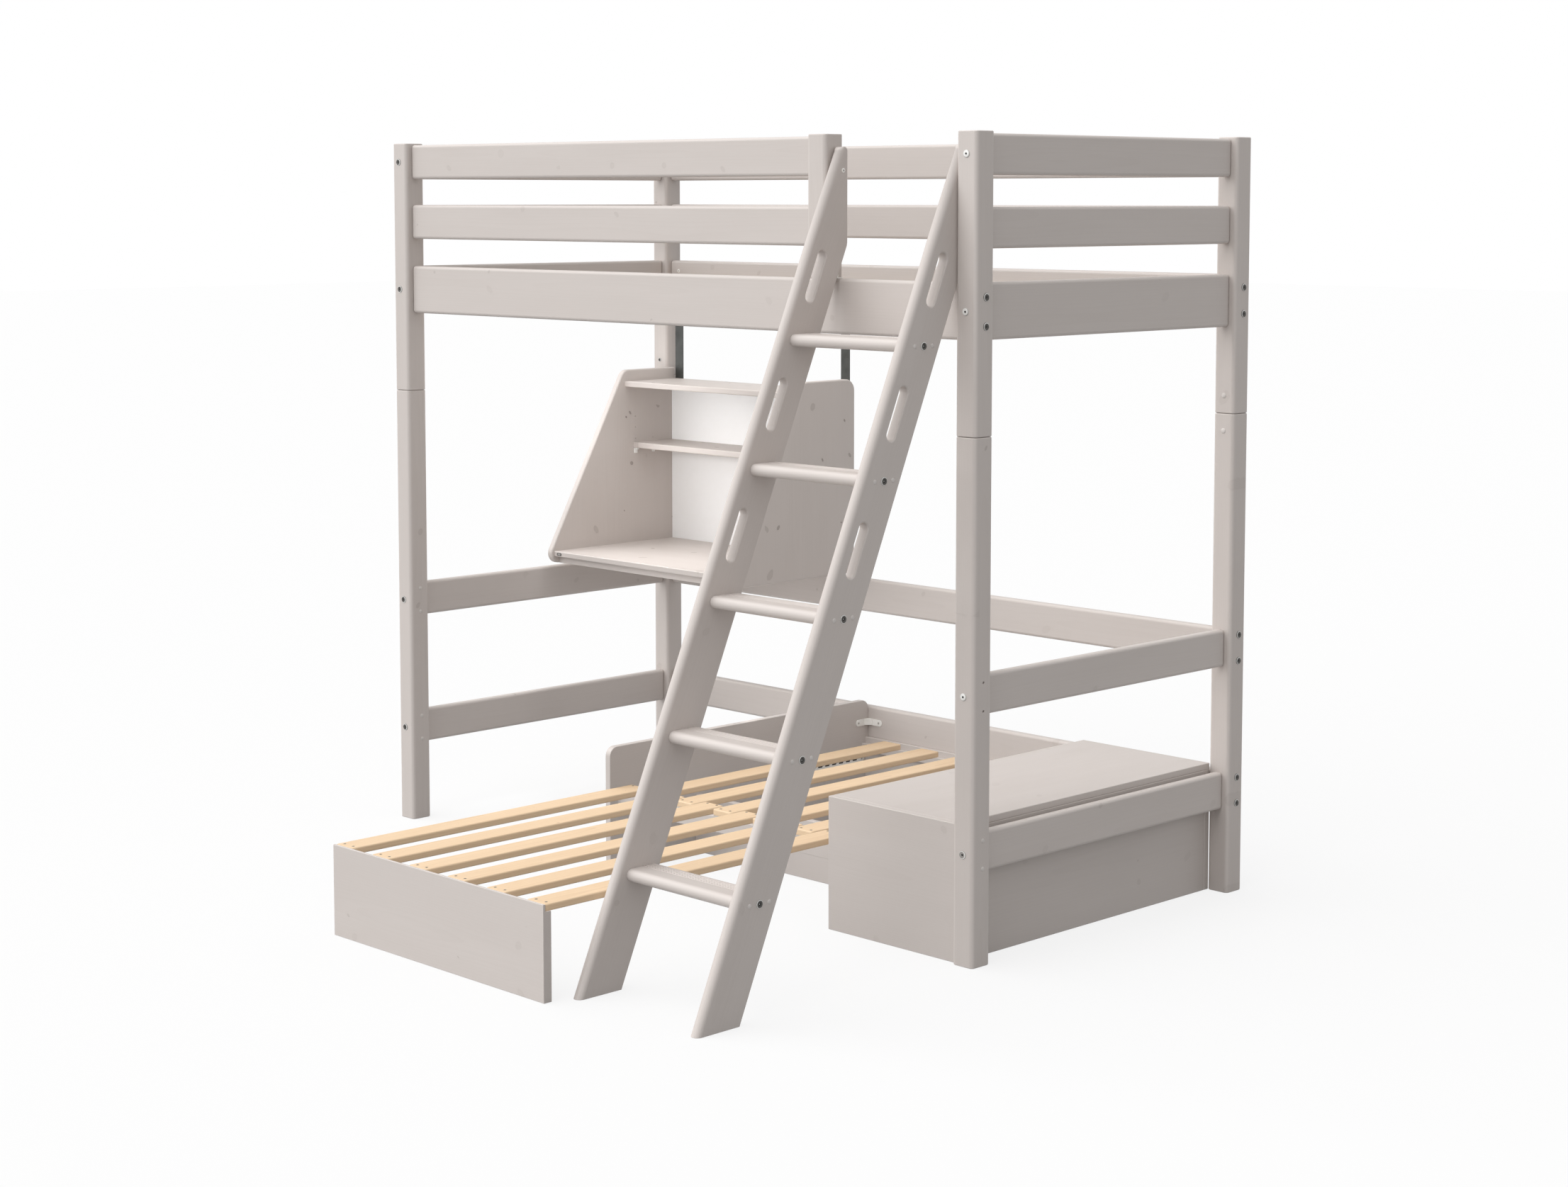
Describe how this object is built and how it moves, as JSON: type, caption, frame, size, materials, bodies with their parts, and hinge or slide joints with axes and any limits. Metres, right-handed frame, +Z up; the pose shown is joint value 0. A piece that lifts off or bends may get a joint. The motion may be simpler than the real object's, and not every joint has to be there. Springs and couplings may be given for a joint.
{
  "type": "loft bed",
  "caption": "Wooden loft bed with guard rails, a leaning ladder, a hanging desk with shelves, a lidded chest and a slatted bench that pulls out into a low bed.",
  "frame": {"origin": "on the floor, below the middle of the whole object's box with the bench pulled out", "axes": "+X to the right along the front, from the desk towards the ladder; +Y from the front towards the wall; +Z up"},
  "size_m": [2.1, 1.8372, 1.845],
  "materials": {
    "washed_pine": "matt white-grey washed pine with soft knots",
    "natural_pine": "unfinished planed pine slats",
    "white_board": "smooth white painted board",
    "dark_steel": "dark grey powder coat, satin",
    "white_metal": "white enamelled sheet metal",
    "bolt_metal": "zinc plated bolt heads and screws",
    "plug_plastic": "matt grey cover plugs and shelf pegs"
  },
  "bodies": {
    "frame": {"front_left_post_lower": "washed_pine", "front_left_post_upper": "washed_pine", "front_right_post_lower": "washed_pine", "front_right_post_upper": "washed_pine", "back_left_post_lower": "washed_pine", "back_left_post_upper": "washed_pine", "back_right_post_lower": "washed_pine", "back_right_post_upper": "washed_pine", "short_ladder_post": "washed_pine", "front_top_guard": "washed_pine", "front_low_guard": "washed_pine", "front_bed_rail": "washed_pine", "back_top_guard": "washed_pine", "left_top_guard": "washed_pine", "right_top_guard": "washed_pine", "back_low_guard": "washed_pine", "left_low_guard": "washed_pine", "right_low_guard": "washed_pine", "back_bed_rail": "washed_pine", "left_bed_rail": "washed_pine", "right_bed_rail": "washed_pine", "back_mid_rail": "washed_pine", "left_mid_rail": "washed_pine", "right_mid_rail": "washed_pine", "back_low_rail": "washed_pine", "left_low_rail": "washed_pine", "right_low_rail": "washed_pine", "left_ladder_stile": "washed_pine", "right_ladder_stile": "washed_pine", "ladder_step_1": "washed_pine", "ladder_step_2": "washed_pine", "ladder_step_3": "washed_pine", "ladder_step_4": "washed_pine", "ladder_step_5": "washed_pine", "left_desk_end": "washed_pine", "right_desk_end": "washed_pine", "desk_top": "washed_pine", "desk_apron": "washed_pine", "top_shelf": "washed_pine", "loose_shelf": "washed_pine", "chest_front": "washed_pine", "chest_back": "washed_pine", "chest_left_side": "washed_pine", "chest_right_side": "washed_pine", "chest_floor": "washed_pine", "bench_arm": "washed_pine", "bench_rear_board": "washed_pine", "bench_cross_board": "washed_pine", "front_ledger": "natural_pine", "back_ledger": "natural_pine", "loft_slatted_base": "natural_pine", "rear_slats": "natural_pine", "desk_back": "white_board", "left_desk_strap": "dark_steel", "right_desk_strap": "dark_steel", "arm_runner": "white_metal", "chest_runner": "white_metal"},
    "lid": {"chest_lid": "washed_pine"},
    "pull_out": {"pull_out_board": "washed_pine", "pull_out_slats": "natural_pine"}
  },
  "joints": [
    {"name": "lid_hinge", "type": "hinge", "parent": "frame", "child": "lid", "pos_m": [0.9897, 0.40665, 0.316], "axis": [0, 1, 0], "range_deg": [0, 90]},
    {"name": "bench_slide", "type": "slide", "parent": "frame", "child": "pull_out", "axis": [0, 1, 0], "range_m": [0, 0.85]}
  ]
}
